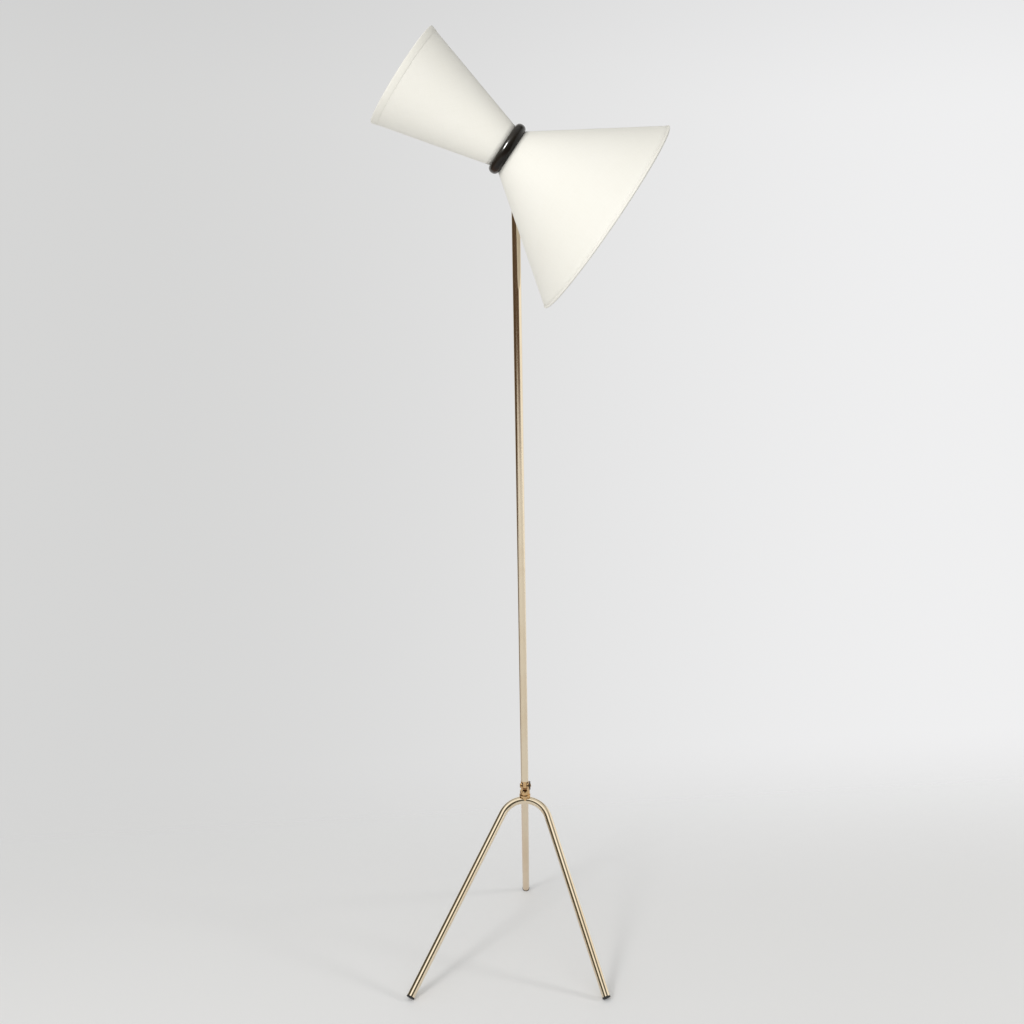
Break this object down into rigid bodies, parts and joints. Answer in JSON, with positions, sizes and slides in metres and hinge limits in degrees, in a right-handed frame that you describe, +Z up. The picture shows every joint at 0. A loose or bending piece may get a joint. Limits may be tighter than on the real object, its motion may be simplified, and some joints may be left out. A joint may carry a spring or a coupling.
{
  "type": "tripod floor lamp",
  "caption": "Floor lamp with a thin brass stem on a bent tripod base, and a tilting double cone fabric shade joined by a black ring.",
  "frame": {"origin": "on the floor, under the middle of the whole lamp as seen from above", "axes": "+Z up, -Y towards the front of the lamp, +X to the side that the big cone points to"},
  "size_m": [0.4859, 0.7028, 1.7384],
  "materials": {
    "brass_tube": "polished tube, lightly aged",
    "turned_brass": "turned and lacquered",
    "black_rubber": "moulded, matt",
    "black_gloss": "high gloss black",
    "ivory_fabric": "fine plain weave laminated on a stiff sheet",
    "ivory_tape": "woven binding tape",
    "white_wire": "white lacquered wire",
    "zinc_steel": "zinc plated",
    "dark_moulding": "moulded thermoset",
    "fibre": "pressed fibre",
    "bulb_metal": "rolled thread",
    "bulb_glass": "opal glass"
  },
  "bodies": {
    "tripod": {"front_frame_tube": "brass_tube", "rear_leg_tube": "brass_tube", "foot_tip_left": "black_rubber", "foot_tip_right": "black_rubber", "foot_tip_rear": "black_rubber", "crown_collar": "turned_brass", "knuckle_fork": "turned_brass", "friction_washers": "fibre", "knuckle_bolt": "turned_brass"},
    "stem": {"stem_tube": "brass_tube", "knuckle_tongue": "turned_brass", "cable_grommet": "black_rubber", "stem_head_post": "turned_brass"},
    "wing_nut": {"wing_nut": "turned_brass"},
    "swivel": {"swivel_block": "turned_brass"},
    "pan_thumbscrew": {"pan_thumbscrew": "turned_brass"},
    "tilt_knob": {"tilt_knob": "turned_brass"},
    "shade": {"big_rim_binding": "ivory_tape", "bulb_cap_big": "bulb_metal", "bulb_cap_small": "bulb_metal", "bulb_glass_big": "bulb_glass", "bulb_glass_small": "bulb_glass", "cross_bar": "zinc_steel", "gallery_big": "white_wire", "gallery_small": "white_wire", "lampholder_big": "dark_moulding", "lampholder_nipple": "zinc_steel", "lampholder_small": "dark_moulding", "nipple_locknuts": "zinc_steel", "rim_wire_big": "white_wire", "rim_wire_small": "white_wire", "shade_big_skin": "ivory_fabric", "shade_clamp_ring_big": "dark_moulding", "shade_clamp_ring_small": "dark_moulding", "shade_ring": "black_gloss", "shade_small_skin": "ivory_fabric", "small_rim_binding": "ivory_tape", "tilt_arm": "turned_brass", "tilt_washer": "turned_brass"}
  },
  "joints": [
    {"name": "stem_tilt", "type": "hinge", "parent": "tripod", "child": "stem", "pos_m": [0.016, 0.108, 0.335], "axis": [0.9999, 0, 0.0171], "range_deg": [-35, 15]},
    {"name": "wing_nut_turn", "type": "hinge", "parent": "tripod", "child": "wing_nut", "pos_m": [0.016, 0.108, 0.335], "axis": [0.9999, 0, 0.0171], "range_deg": [0, 360]},
    {"name": "head_pan", "type": "hinge", "parent": "stem", "child": "swivel", "pos_m": [-0.00498, -0.10826, 1.5613], "axis": [-0.0168, -0.1736, 0.9847], "range_deg": [-170, 170]},
    {"name": "pan_thumbscrew_turn", "type": "hinge", "parent": "swivel", "child": "pan_thumbscrew", "pos_m": [-0.00468, -0.10522, 1.54407], "axis": [0.0581, 0.983, 0.1743], "range_deg": [0, 360]},
    {"name": "shade_tilt", "type": "hinge", "parent": "swivel", "child": "shade", "pos_m": [-0.01755, -0.18543, 1.54748], "axis": [0.0581, 0.983, 0.1743], "range_deg": [-100, 8]},
    {"name": "tilt_knob_turn", "type": "hinge", "parent": "shade", "child": "tilt_knob", "pos_m": [-0.01755, -0.18543, 1.54748], "axis": [0.0581, 0.983, 0.1743], "range_deg": [0, 360]}
  ]
}
